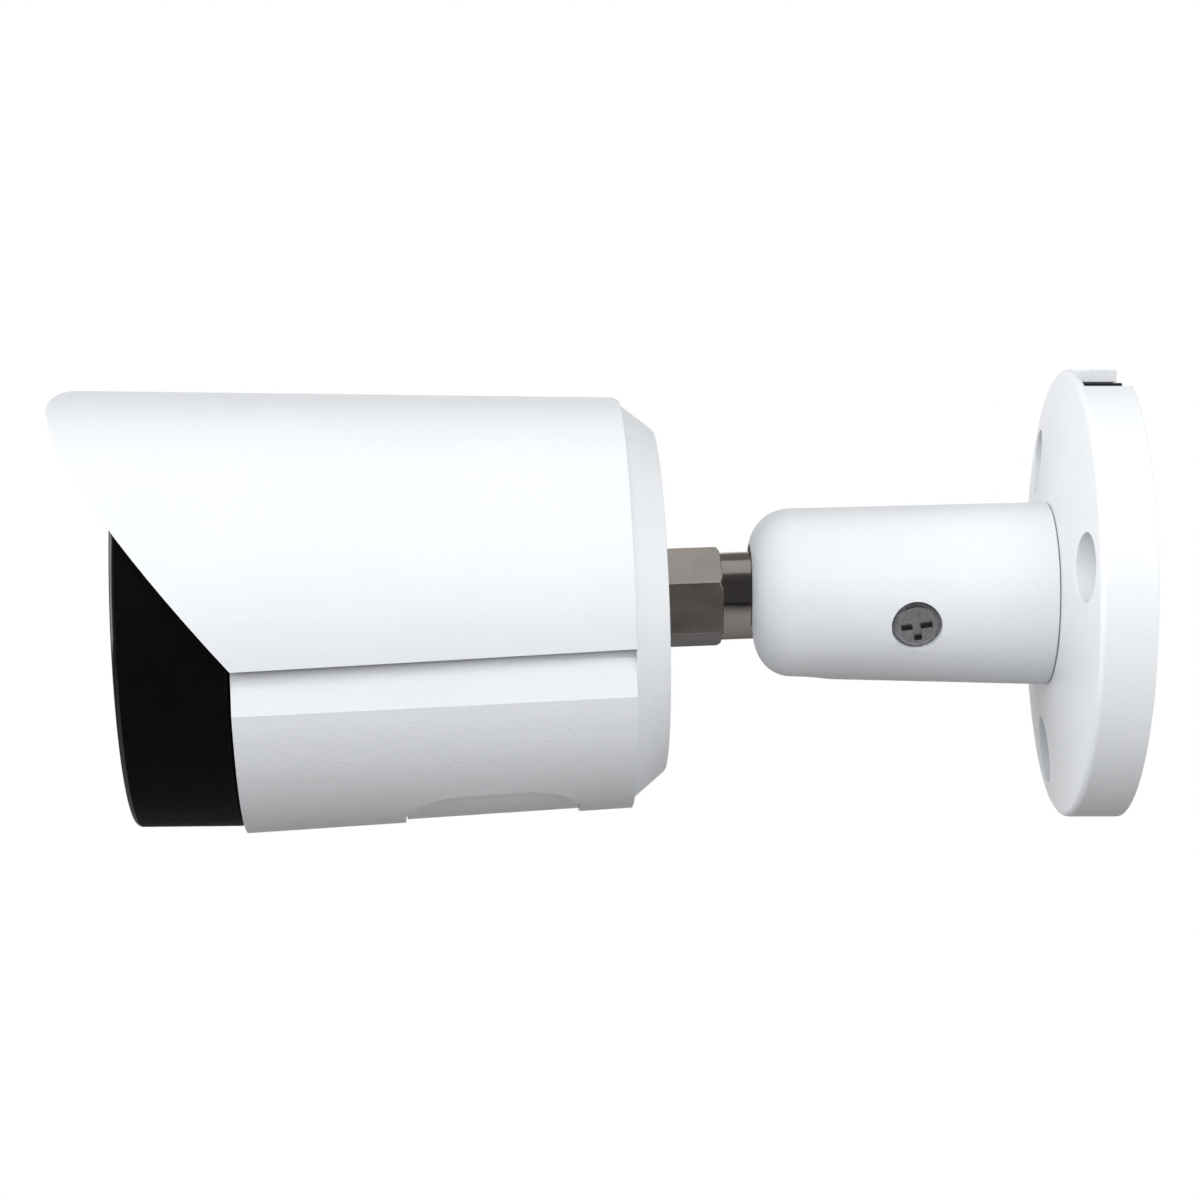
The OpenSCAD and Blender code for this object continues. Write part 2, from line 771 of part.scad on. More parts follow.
module rear_cap_o_ring() {
    color(RUBBER) shell_frame() o_ring(housing_back + plug_h / 2, plug_r + running - ring_w, ring_w);
}

module rear_cap_screws() {
    color(STEEL) shell_frame() ahead_of_ball(cap_back + cap_screw_sunk) at_cap_screws()
        mirror([0, 0, 1]) pan_screw(cap_screw_r, cap_screw_h, cap_screw_head_r, cap_screw_head_h);
}

// The housing's outer form: a cone with flat sides, drawn in under the sunshield
module housing_outer() {
    split = shield_edge_z(housing_front);
    intersection() {
        housing_cone(housing_back, housing_front);
        between_flats(housing_back, housing_front);
        union() {
            translate([-housing_r_front, -housing_front, -housing_r_front])
                cube([2 * housing_r_front, housing_h, housing_r_front + split]);
            shield_cone(housing_back, housing_front, shield_wall + shield_gap);
        }
    }
}

module housing_cavity() {
    back = housing_back + collar_h;
    front = housing_front - front_bore_h;
    intersection() {
        housing_cone(back, front, housing_wall);
        between_flats(back, front, housing_wall);
        shield_cone(back, front, shield_wall + shield_gap + housing_wall);
    }
}

module at_lugs() {
    for (a = lug_angles) rotate([0, 0, a]) translate([lug_circle_r, 0, 0]) children();
}

module at_shield_screws() {
    for (ahead = shield_screw_stations) translate([0, -ahead, 0]) children();
}

module housing() {
    color(WHITE) shell_frame() difference() {
        union() {
            difference() {
                housing_outer();
                housing_cavity();
            }
            // Lugs for the inner frame
            intersection() {
                housing_outer();
                ahead_of_ball(frame_back - lug_h) at_lugs() {
                    cylinder(r = lug_r, h = lug_h);
                    translate([0, -lug_r, 0]) cube([housing_r_front, 2 * lug_r, lug_h]);
                }
            }
            // Thicker wall round the access opening
            intersection() {
                difference() {
                    housing_cone(housing_back, housing_front);
                    housing_cone(housing_back - cut, housing_front + cut, ledge_depth + ledge_h);
                }
                housing_outer();
                cover_block(opening_rim);
            }
            // Pads that the sunshield is screwed down on
            intersection() {
                shield_cone(housing_back, housing_front, shield_wall);
                at_shield_screws() translate([0, 0, pad_floor]) cylinder(r = pad_r_shield, h = long_cut);
            }
        }
        ahead_of_ball(housing_back - cut) cylinder(r = plug_r + running, h = collar_h + 2 * cut);
        ahead_of_ball(housing_front - front_bore_h - eps)
            cylinder(r = front_bore_r, h = front_bore_h + cut);
        ahead_of_ball(housing_back - cut) at_cap_screws()
            cylinder(r = cap_screw_r, h = collar_h + cut + eps);
        ahead_of_ball(frame_back - lug_h - cut) at_lugs() cylinder(r = lug_thread_r, h = lug_h + 2 * cut);
        at_shield_screws() translate([0, 0, pad_floor - cut]) cylinder(r = shield_thread_r, h = long_cut);
        // Access opening and the recess for its cover
        cover_block(-cover_ledge);
        difference() {
            cover_block(moving);
            housing_cone(housing_back - cut, housing_front + cut, ledge_depth);
        }
    }
}

// The sunshield's side outline: +x is ahead and +y is up
module shield_outline() {
    tip = [shield_front, shield_r(shield_front) - shield_tip_drop];
    low = [housing_front - shield_curve_start, shield_edge_z(housing_front)];
    bend = [shield_front - shield_bend[0], shield_r(shield_front) - shield_bend[1]];
    top = shield_r(shield_front) + cut;
    corner = [shield_front - shield_tip_r, shield_r(shield_front) - shield_tip_r - shield_nose_drop];
    polygon(concat(
        [[shield_back, shield_edge_z(shield_back)]],
        [for (i = [0:16]) curve_point(low, bend, tip, i / 16)],
        arc(corner, shield_tip_r, 10, 80),
        [[corner[0] - 1, top], [shield_back + shield_rear_cut[0] + 0.5, top],
         [shield_back + shield_rear_cut[0], shield_r(shield_back) + 0.1],
         [shield_back, shield_r(shield_back) - shield_rear_cut[1]]]));
}

module sunshield() {
    color(WHITE) shell_frame() difference() {
        intersection() {
            difference() {
                shield_cone(shield_back, shield_front);
                shield_cone(shield_back - cut, shield_front + cut, shield_wall);
            }
            translate([-shield_d_front, 0, 0]) rotate([90, 0, -90]) mirror([0, 0, 1])
                linear_extrude(2 * shield_d_front) shield_outline();
        }
        at_shield_screws() translate([0, 0, pad_floor]) cylinder(r = shield_screw_hole_r, h = long_cut);
        for (ahead = shield_screw_stations)
            translate([0, -ahead, shield_r(ahead) - shield_screw_sunk]) {
                cylinder(r1 = shield_screw_hole_r, r2 = shield_screw_head_r + moving,
                    h = shield_screw_head_h);
                translate([0, 0, shield_screw_head_h - eps])
                    cylinder(r = shield_screw_head_r + moving, h = long_cut);
            }
    }
}

module sunshield_screws() {
    color(STEEL) shell_frame()
        for (ahead = shield_screw_stations)
            translate([0, -ahead, shield_r(ahead) - shield_screw_sunk]) difference() {
                h = shield_r(ahead) - shield_screw_sunk - pad_floor - moving;
                union() {
                    translate([0, 0, -h]) cylinder(r = shield_thread_r, h = h + eps);
                    cylinder(r1 = shield_thread_r + shield_screw_neck, r2 = shield_screw_head_r,
                        h = shield_screw_head_h);
                }
                translate([0, 0, shield_screw_head_h])
                    cross_recess(shield_screw_head_r * cross_share, shield_screw_head_h * cross_depth);
            }
}

module front_bezel() {
    color(BLACK) shell_frame() difference() {
        union() {
            ahead_of_ball(housing_front + bezel_gap)
                rotate_extrude() polygon(concat(
                    [[0, 0], [bezel_d_back / 2 - bezel_chamfer, 0], [bezel_d_back / 2, bezel_chamfer]],
                    arc([bezel_d_front / 2 - bezel_round, bezel_h - bezel_gap - bezel_round],
                        bezel_round, 0, 90),
                    [[0, bezel_h - bezel_gap]]));
            ahead_of_ball(housing_front - bezel_plug_h)
                cylinder(r = front_bore_r - running, h = bezel_plug_h + bezel_gap + cut);
        }
        ahead_of_ball(housing_front - bezel_plug_h - cut)
            cylinder(r = plug_bore_r, h = bezel_plug_h + bezel_gap + 3 * cut);
        ahead_of_ball(housing_front) cylinder(r = glass_d / 2 - gasket_w, h = bezel_h + cut);
        ahead_of_ball(glass_back - gasket_h) cylinder(r = glass_d / 2 + running, h = bezel_h);
        ahead_of_ball(glass_front + rim_flare_from_glass)
            cylinder(r1 = glass_d / 2, r2 = glass_d / 2 + rim_flare, h = rim_flare);
        ahead_of_ball(housing_front - bezel_plug_h / 2 - ring_w / 2)
            ring(front_bore_r + cut, front_bore_r - ring_w, ring_w);
    }
}

module bezel_o_ring() {
    color(RUBBER) shell_frame() o_ring(housing_front - bezel_plug_h / 2, front_bore_r - ring_w, ring_w);
}

module glass_gasket() {
    color(RUBBER) shell_frame() ahead_of_ball(glass_back - gasket_h)
        ring(glass_d / 2, glass_d / 2 - gasket_w, gasket_h);
}

module front_glass() {
    color(GLASS) shell_frame() ahead_of_ball(glass_back) {
        cylinder(d = glass_d, h = glass_h - glass_chamfer);
        translate([0, 0, glass_h - glass_chamfer])
            cylinder(d1 = glass_d, d2 = glass_d - 2 * glass_chamfer, h = glass_chamfer);
    }
}

// ---- Head: optics ----

module lens_shroud() {
    back = led_board_ahead + board_h;
    color(RUBBER) shell_frame() ahead_of_ball(back)
        ring(lens_hole_r, lens_head_r + shroud_gap, glass_back - back);
}

module led_board() {
    color(BOARD) shell_frame() ahead_of_ball(led_board_ahead) difference() {
        ring(led_board_r, lens_hole_r - 1, board_h);
        at_led_posts() translate([0, 0, -cut]) cylinder(r = post_hole_r, h = board_h + 2 * cut);
    }
}

module at_led_posts() {
    for (a = led_post_angles) rotate([0, 0, a]) translate([led_post_circle_r, 0, 0]) children();
}

module led_board_posts() {
    color(BRASS) shell_frame() ahead_of_ball(frame_front) at_led_posts() difference() {
        cylinder(r = post_r, h = led_board_ahead - frame_front, $fn = 6);
        translate([0, 0, -cut]) cylinder(r = post_hole_r, h = led_board_ahead - frame_front + 2 * cut);
    }
}

module ir_leds() {
    color(GLASS) shell_frame() ahead_of_ball(led_board_ahead + board_h)
        for (i = [0:led_count - 1])
            rotate([0, 0, 90 + (i + 0.5) * 360 / led_count]) translate([led_circle_r, 0, 0]) {
                cylinder(r = led_d / 2 + led_rim, h = led_rim_h);
                cylinder(d = led_d, h = led_h);
                translate([0, 0, led_h]) sphere(d = led_d - eps);
            }
}

module light_sensor() {
    color(CHIP) shell_frame() ahead_of_ball(led_board_ahead + board_h)
        translate([0, led_circle_r + sensor_outside, 0]) {
            cylinder(r = light_sensor_r, h = light_sensor_h);
            translate([0, 0, light_sensor_h])
                cylinder(r1 = light_sensor_r, r2 = light_sensor_r - light_sensor_bevel[0],
                    h = light_sensor_bevel[1]);
        }
}

module lens_barrel() {
    color(BLACK) shell_frame() difference() {
        union() {
            ahead_of_ball(lens_back) cylinder(r = lens_thread_r, h = lens_head_back - lens_back + eps);
            ahead_of_ball(lens_head_back)
                cylinder(r = lens_head_r, h = lens_front - lens_head_back - lens_chamfer);
            ahead_of_ball(lens_front - lens_chamfer - eps)
                cylinder(r1 = lens_head_r, r2 = lens_head_r - lens_chamfer, h = lens_chamfer);
        }
        ahead_of_ball(lens_back - cut) cylinder(r = lens_bore_r, h = lens_front - lens_back + 2 * cut);
        ahead_of_ball(lens_front - lens_cone_h)
            cylinder(r1 = lens_bore_r, r2 = lens_head_r - 2 * lens_chamfer, h = lens_cone_h + eps);
    }
}

module lens_elements() {
    color(GLASS) shell_frame() {
        intersection() {
            ahead_of_ball(lens_front - front_element[1]) cylinder(r = lens_bore_r, h = front_element[1]);
            ahead_of_ball(lens_front - front_element[0] - lens_dome_r) sphere(r = lens_dome_r);
        }
        ahead_of_ball(lens_front - middle_element[1])
            cylinder(r = lens_bore_r, h = middle_element[1] - middle_element[0]);
        ahead_of_ball(lens_back + rear_element[0]) cylinder(r = lens_bore_r, h = rear_element[1]);
    }
}

module lens_holder() {
    slot_w = filter_frame_w + 2 * filter_gap;
    slot_l = holder_w + 2 * cut;
    color(BLACK) shell_frame() difference() {
        union() {
            ahead_of_ball(holder_back)
                translate([-holder_w / 2, -holder_w / 2, 0]) cube([holder_w, holder_w, holder_h]);
            ahead_of_ball(holder_back + holder_h - eps)
                cylinder(r = lens_thread_r + holder_tube_wall, h = holder_tube_h);
        }
        ahead_of_ball(lens_back - 1) cylinder(r = lens_thread_r, h = holder_tube_h + holder_h);
        ahead_of_ball(holder_back - cut) cylinder(r = lens_bore_r, h = holder_h + 2 * cut);
        ahead_of_ball(holder_back - cut)
            translate([-sensor_room_w / 2, -sensor_room_w / 2, 0])
                cube([sensor_room_w, sensor_room_w, sensor_room_h + cut]);
        ahead_of_ball(filter_ahead - moving)
            translate([-slot_l / 2, -slot_w / 2, 0]) cube([slot_l, slot_w, filter_frame_h + 2 * moving]);
    }
}

// The moving frame holds two filter windows side by side, one of them over the sensor
module ir_cut_frame() {
    l = 2 * (filter_travel + filter_bar);
    color(CHIP) shell_frame() ahead_of_ball(filter_ahead) difference() {
        translate([-filter_travel * 1.5 - filter_bar, -filter_frame_w / 2, 0])
            cube([l, filter_frame_w, filter_frame_h]);
        for (x = [0, -filter_travel])
            translate([x - filter_w / 2, -filter_w / 2, -cut])
                cube([filter_w, filter_w, filter_frame_h + 2 * cut]);
    }
}

module ir_cut_filters() {
    color(GLASS) shell_frame() ahead_of_ball(filter_ahead + (filter_frame_h - filter_h) / 2)
        for (x = [0, -filter_travel])
            translate([x - filter_w / 2, -filter_w / 2, 0]) cube([filter_w, filter_w, filter_h]);
}

module ir_cut_coil() {
    color(BRASS) shell_frame() ahead_of_ball(holder_back + coil_lift)
        translate([-coil_l / 2, holder_w / 2, 0]) {
            for (h = [0, coil_h - coil_flange_h]) translate([0, 0, h])
                cube([coil_l, coil_w, coil_flange_h]);
            translate([coil_l / 2, coil_w / 2, coil_flange_h / 2])
                cylinder(r = coil_w / 2 - coil_inset, h = coil_h - coil_flange_h);
        }
}

module image_sensor() {
    color(CHIP) shell_frame() ahead_of_ball(sensor_board_ahead)
        translate([-sensor_w / 2, -sensor_w / 2, 0]) cube([sensor_w, sensor_w, sensor_h]);
}

module at_sensor_posts() {
    for (x = [-1, 1], y = [-1, 1]) translate([x * post_place, y * post_place, 0]) children();
}

module sensor_board() {
    w = sensor_board_w;
    color(BOARD) shell_frame() ahead_of_ball(sensor_board_ahead - board_h) difference() {
        translate([-w / 2, -w / 2, 0]) cube([w, w, board_h]);
        at_sensor_posts() translate([0, 0, -cut]) cylinder(r = post_hole_r, h = board_h + 2 * cut);
    }
}

module sensor_board_posts() {
    h = frame_back - sensor_board_ahead;
    color(BRASS) shell_frame() ahead_of_ball(sensor_board_ahead) at_sensor_posts() difference() {
        cylinder(r = post_r, h = h, $fn = 6);
        translate([0, 0, -cut]) cylinder(r = post_hole_r, h = h + 2 * cut);
    }
}

// ---- Head: frame, boards and service bay ----

module at_board_posts() {
    for (x = [-1, 1],
        ahead = [board_back + board_post_from_end, board_back + board_l - board_post_from_end])
        translate([x * board_post_x, -ahead, 0]) children();
}

module inner_frame() {
    window_w = holder_w + 2 * frame_window_gap;
    tray_w = board_w - 2 * tray_inset;
    color(CHIP) shell_frame() difference() {
        union() {
            ahead_of_ball(frame_back) cylinder(r = frame_r, h = frame_h);
            translate([-tray_w / 2, -frame_back - eps, tray_z])
                cube([tray_w, frame_back - board_back - tray_inset, tray_h]);
            at_board_posts() translate([0, 0, board_top])
                cylinder(r = post_r, h = tray_z - board_top + eps);
            translate([0, -cover_ahead, -pillar_end]) cylinder(r = pillar_r, h = tray_z + pillar_end + eps);
        }
        ahead_of_ball(frame_back - cut)
            translate([-window_w / 2, -window_w / 2, 0])
                cube([window_w, window_w + coil_w + 2 * frame_window_gap, frame_h + 2 * cut]);
        ahead_of_ball(frame_back - cut) at_lugs()
            cylinder(r = frame_screw_r + moving, h = frame_h + 2 * cut);
        translate([0, -cover_ahead, -housing_r_back])
            cylinder(r = cover_screw_r + running, h = long_cut / 2);
    }
}

module frame_screws() {
    color(STEEL) shell_frame() ahead_of_ball(frame_front) at_lugs()
        pan_screw(frame_screw_r, frame_screw_h, frame_screw_head_r, frame_screw_head_h);
}

module main_board() {
    color(BOARD) shell_frame() difference() {
        translate([-board_w / 2, -board_back - board_l, board_z]) cube([board_w, board_l, board_h]);
        translate([0, -cover_ahead, board_z - cut])
            cylinder(r = pillar_r + board_gap, h = board_h + 2 * cut);
        at_board_posts() translate([0, 0, board_z - cut])
            cylinder(r = board_screw_r + board_screw_gap, h = board_h + 2 * cut);
    }
}

module board_screws() {
    color(STEEL) shell_frame() at_board_posts() translate([0, 0, board_z])
        mirror([0, 0, 1]) pan_screw(board_screw_r, board_h, board_screw_head_r, board_screw_head_h);
}

module processor() {
    color(CHIP) shell_frame()
        translate([-processor_w / 2, -board_back - board_l + processor_from_end, board_top])
            cube([processor_w, processor_w, processor_h]);
}

module card_socket() {
    color(STEEL) shell_frame() difference() {
        translate([card_x - socket_w / 2, -socket_back - socket_l, board_z - socket_h])
            cube([socket_w, socket_l, socket_h]);
        translate([card_x - card_w / 2 - moving, -socket_back - socket_l + socket_wall, card_z - moving])
            cube([card_w + 2 * moving, socket_l, card_h + 2 * moving]);
    }
}

module memory_card() {
    color(BLACK) shell_frame()
        translate([card_x - card_w / 2, -socket_back - card_l + card_tail, card_z]) {
            cube([card_w, card_l - socket_wall, card_h]);
            translate([0, card_l - socket_wall - eps, 0]) cube([card_w, socket_wall, card_h + card_lip]);
        }
}

module reset_switch() {
    color(STEEL) shell_frame() translate([reset_x, -reset_ahead, board_z - reset_base_h]) difference() {
        translate([-reset_base / 2, -reset_base / 2, 0]) cube([reset_base, reset_base, reset_base_h]);
        translate([0, 0, -cut]) cylinder(r = reset_pin_r + running, h = reset_base_h - reset_roof + cut);
    }
}

module reset_button() {
    color(BLACK) shell_frame() translate([reset_x, -reset_ahead, reset_pin_z])
        cylinder(r = reset_pin_r, h = reset_pin_h);
}

module board_connector() {
    color(WHITE) shell_frame()
        translate([-connector_w / 2, -board_back - connector_l - 1, board_top]) difference() {
        cube([connector_w, connector_l, connector_h]);
        translate([connector_wall, 2 * connector_wall, connector_floor])
            cube([connector_w - 2 * connector_wall, connector_l, connector_h - 2 * connector_floor]);
    }
}

// A flat flexible strip from the sensor board down to the main board
module ribbon_cable() {
    low = tray_z + tray_h + board_gap;
    color(BRASS) shell_frame() translate([-ribbon_w / 2, board_h - sensor_board_ahead, low]) {
        cube([ribbon_w, ribbon_h, ribbon_top - low]);
        cube([ribbon_w, ribbon_foot, ribbon_h]);
    }
}

module access_cover() {
    pit_top = housing_r_front - housing_r(cover_ahead) + cover_sunk + cover_pit_h;
    color(WHITE) shell_frame() difference() {
        intersection() {
            difference() {
                housing_cone(housing_back, housing_front, cover_sunk);
                housing_cone(housing_back - cut, housing_front + cut, cover_sunk + cover_h);
            }
            cover_block();
        }
        translate([0, -cover_ahead, -housing_r_front - cut]) {
            cylinder(r = cover_screw_r + cover_hole_gap, h = long_cut);
            cylinder(r = cover_pit_r, h = pit_top + cut);
        }
    }
}

module cover_seal() {
    color(RUBBER) shell_frame() difference() {
        intersection() {
            difference() {
                housing_cone(housing_back, housing_front, cover_sunk + cover_h);
                housing_cone(housing_back - cut, housing_front + cut, ledge_depth - running);
            }
            cover_block(-seal_inset);
        }
        cover_block(-cover_ledge);
    }
}

module cover_screw() {
    seat_z = -housing_r(cover_ahead) + cover_sunk + cover_pit_h;
    color(STEEL) shell_frame() translate([0, -cover_ahead, seat_z]) mirror([0, 0, 1])
        pan_screw(cover_screw_r, cover_screw_h, cover_head_r, cover_head_h);
}

wall_flange();
back_pad();
neck();
neck_washer();
neck_retaining_ring();
cable_grommet();
clamp_screw();
pressure_seat();
ball_shaft();
shaft_o_ring();
shaft_washer();
shaft_nut();
rear_cap();
rear_cap_o_ring();
rear_cap_screws();
housing();
sunshield();
sunshield_screws();
front_bezel();
bezel_o_ring();
glass_gasket();
front_glass();
lens_shroud();
led_board();
led_board_posts();
ir_leds();
light_sensor();
lens_barrel();
lens_elements();
lens_holder();
ir_cut_frame();
ir_cut_filters();
ir_cut_coil();
image_sensor();
sensor_board();
sensor_board_posts();
inner_frame();
frame_screws();
main_board();
board_screws();
processor();
card_socket();
memory_card();
reset_switch();
reset_button();
board_connector();
ribbon_cable();
access_cover();
cover_seal();
cover_screw();
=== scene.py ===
"""Looks of a bullet security camera on a ball-jointed wall bracket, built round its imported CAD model."""
import json
import math

import bmesh
import bpy
from mathutils import Matrix, Vector


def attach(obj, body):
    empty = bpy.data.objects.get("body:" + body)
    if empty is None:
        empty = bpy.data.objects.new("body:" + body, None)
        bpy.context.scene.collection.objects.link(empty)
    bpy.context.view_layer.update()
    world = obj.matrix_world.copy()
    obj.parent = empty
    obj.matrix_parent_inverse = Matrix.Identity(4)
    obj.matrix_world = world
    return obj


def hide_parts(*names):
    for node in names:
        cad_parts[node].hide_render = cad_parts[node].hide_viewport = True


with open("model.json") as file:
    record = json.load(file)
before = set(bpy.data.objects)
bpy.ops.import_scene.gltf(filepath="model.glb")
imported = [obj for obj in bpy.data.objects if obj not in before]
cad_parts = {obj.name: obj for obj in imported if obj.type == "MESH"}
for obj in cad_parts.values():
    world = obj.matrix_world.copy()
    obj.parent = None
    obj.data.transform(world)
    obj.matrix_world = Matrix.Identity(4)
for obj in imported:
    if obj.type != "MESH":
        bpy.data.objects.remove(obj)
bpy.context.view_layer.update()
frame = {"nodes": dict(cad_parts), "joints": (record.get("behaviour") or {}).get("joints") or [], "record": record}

MM = 0.001
MICRON = 0.000001


# ---------------------------------------------------------------- materials

DARK_STOP, LIGHT_STOP = 0.3, 0.7    # of the noise that tones a surface


class Nodes:
    """Short names for building a shader: each call adds a node and links what it is given."""

    def __init__(self, name):
        self.material = bpy.data.materials.new(name)
        self.material.use_nodes = True
        self.tree = self.material.node_tree
        self.shader = self.tree.nodes["Principled BSDF"]
        self.place = self.add("ShaderNodeTexCoord").outputs["Object"]

    def add(self, kind):
        return self.tree.nodes.new(kind)

    def link(self, source, target):
        self.tree.links.new(source, target)

    def set(self, **values):
        for key, value in values.items():
            self.shader.inputs[key.replace("_", " ")].default_value = value

    def noise(self, scale, detail=2.0, roughness=0.5):
        node = self.add("ShaderNodeTexNoise")
        node.inputs["Scale"].default_value = scale
        node.inputs["Detail"].default_value = detail
        node.inputs["Roughness"].default_value = roughness
        self.link(self.place, node.inputs["Vector"])
        return node.outputs["Fac"]

    def cells(self, scale):
        node = self.add("ShaderNodeTexVoronoi")
        node.inputs["Scale"].default_value = scale
        self.link(self.place, node.inputs["Vector"])
        return node.outputs["Distance"]

    def ramp(self, source, stops):
        node = self.add("ShaderNodeValToRGB")
        while len(node.color_ramp.elements) < len(stops):
            node.color_ramp.elements.new(0.5)
        for element, (position, colour) in zip(node.color_ramp.elements, stops):
            element.position = position
            element.color = (*colour, 1)
        self.link(source, node.inputs["Fac"])
        return node.outputs["Color"]

    def colour(self, source, dark, light):
        """The surface's colour: dark to light as source rises."""
        tone = self.ramp(source, [(DARK_STOP, dark), (LIGHT_STOP, light)])
        self.link(tone, self.shader.inputs["Base Color"])

    def roughness(self, source, low, high):
        self.link(self.span(source, low, high), self.shader.inputs["Roughness"])

    def span(self, source, low, high):
        """source, from 0 to 1, spread over low to high."""
        node = self.add("ShaderNodeMapRange")
        node.inputs["To Min"].default_value = low
        node.inputs["To Max"].default_value = high
        self.link(source, node.inputs["Value"])
        return node.outputs["Result"]

    def bump(self, layers):
        """Stacks layers of (height, strength, depth in microns) into the shader's normal."""
        normal = None
        for height, strength, depth in layers:
            node = self.add("ShaderNodeBump")
            node.inputs["Strength"].default_value = strength
            node.inputs["Distance"].default_value = depth * MICRON
            self.link(height, node.inputs["Height"])
            if normal is not None:
                self.link(normal, node.inputs["Normal"])
            normal = node.outputs["Normal"]
        self.link(normal, self.shader.inputs["Normal"])


def grey(value, tint=(1, 1, 1)):
    return tuple(value * t for t in tint)


COOL = (0.945, 0.970, 1.0)      # the white coats' tint


def powder_coat(name, value, roughness, grain):
    """White paint with the fine orange-peel of a powder coat."""
    n = Nodes(name)
    tone = n.noise(60, 3)
    n.colour(tone, grey(value * 0.985, COOL), grey(value, COOL))
    n.roughness(n.noise(900, 2), roughness - 0.05, roughness + 0.05)
    n.set(Specular_IOR_Level=0.45)
    n.bump([(n.noise(1500, 2, 0.55), grain, 280), (n.noise(4200, 2, 0.6), grain * 0.6, 100)])
    return n.material


def textured_black(name, value=0.002, roughness=0.5):
    """Moulded black with a fine spark-eroded texture."""
    n = Nodes(name)
    n.colour(n.noise(300, 3), grey(value), grey(value * 1.5))
    n.roughness(n.noise(2500, 2), roughness - 0.08, roughness + 0.08)
    n.set(Specular_IOR_Level=0.05)
    n.bump([(n.cells(3600), 0.35, 60), (n.noise(1800, 2), 0.3, 50)])
    return n.material


def gloss_black(name):
    n = Nodes(name)
    n.roughness(n.noise(700, 2), 0.10, 0.18)
    n.colour(n.noise(200), grey(0.006), grey(0.010))
    return n.material


def rubber(name):
    n = Nodes(name)
    n.colour(n.noise(400, 3), grey(0.010), grey(0.018))
    n.roughness(n.noise(1500), 0.62, 0.78)
    n.bump([(n.noise(2600, 3), 0.3, 60)])
    return n.material


def metal(name, colour, roughness, wave=0.0):
    """Bare metal: wave is how uneven the surface is."""
    n = Nodes(name)
    n.set(Metallic=1.0)
    tone = n.noise(250, 3)
    n.colour(tone, tuple(0.9 * c for c in colour), colour)
    n.roughness(n.noise(1200, 2), roughness * 0.75, roughness * 1.25)
    layers = [(n.noise(3000, 2), 0.12, 30)]
    if wave:
        layers.insert(0, (n.noise(140, 1), wave, 600))
    n.bump(layers)
    return n.material


def circuit_board(name):
    """Green solder mask with faint tracks and pads."""
    n = Nodes(name)
    brick = n.add("ShaderNodeTexBrick")
    brick.inputs["Scale"].default_value = 260
    brick.inputs["Color1"].default_value = (0.010, 0.085, 0.045, 1)
    brick.inputs["Color2"].default_value = (0.014, 0.11, 0.06, 1)
    brick.inputs["Mortar"].default_value = (0.03, 0.17, 0.09, 1)
    brick.inputs["Mortar Size"].default_value = 0.03
    n.link(n.place, brick.inputs["Vector"])
    n.link(brick.outputs["Color"], n.shader.inputs["Base Color"])
    n.roughness(n.noise(500), 0.28, 0.42)
    n.bump([(brick.outputs["Fac"], 0.3, 50)])
    return n.material


def moulded(name, colour, roughness=0.5):
    n = Nodes(name)
    n.colour(n.noise(300, 2), tuple(0.88 * c for c in colour), colour)
    n.roughness(n.noise(1400), roughness - 0.06, roughness + 0.06)
    n.bump([(n.noise(2400, 2), 0.2, 40)])
    return n.material


def window_glass(name):
    """Dark tinted window: mostly opaque from outside, with what is behind it just showing."""
    n = Nodes(name)
    n.set(Transmission_Weight=1.0, IOR=1.5)
    n.colour(n.noise(90), (0.10, 0.09, 0.11), (0.12, 0.11, 0.13))
    n.roughness(n.noise(600), 0.0, 0.03)
    return n.material


def coated_glass(name):
    """Optical glass with a violet coating."""
    n = Nodes(name)
    n.set(Transmission_Weight=0.75, IOR=1.55, Coat_Weight=1.0, Coat_Roughness=0.02,
          Coat_Tint=(0.75, 0.6, 1.0, 1))
    n.colour(n.noise(120), (0.30, 0.18, 0.42), (0.22, 0.28, 0.50))
    n.roughness(n.noise(500), 0.0, 0.03)
    return n.material


MATERIAL = {
    "white": powder_coat("white_powder_coat", 0.80, 0.42, 0.30),
    "shield": powder_coat("white_shield_coat", 0.79, 0.38, 0.22),
    "bracket": powder_coat("white_bracket_coat", 0.83, 0.40, 0.30),
    "black": textured_black("black_textured"),
    "gloss": gloss_black("black_gloss"),
    "rubber": rubber("black_rubber"),
    "nickel": metal("bright_nickel", (0.40, 0.365, 0.34), 0.17, wave=0.35),
    "steel": metal("turned_steel", (0.42, 0.42, 0.43), 0.28),
    "brass": metal("machined_brass", (0.72, 0.55, 0.28), 0.25),
    "board": circuit_board("green_circuit_board"),
    "chip": moulded("moulded_chip", (0.022, 0.022, 0.025), 0.45),
    "pale": moulded("pale_plastic", (0.62, 0.61, 0.56), 0.45),
    "film": moulded("amber_film", (0.55, 0.24, 0.05), 0.3),
    "window": window_glass("tinted_window"),
    "lens": coated_glass("coated_lens"),
}

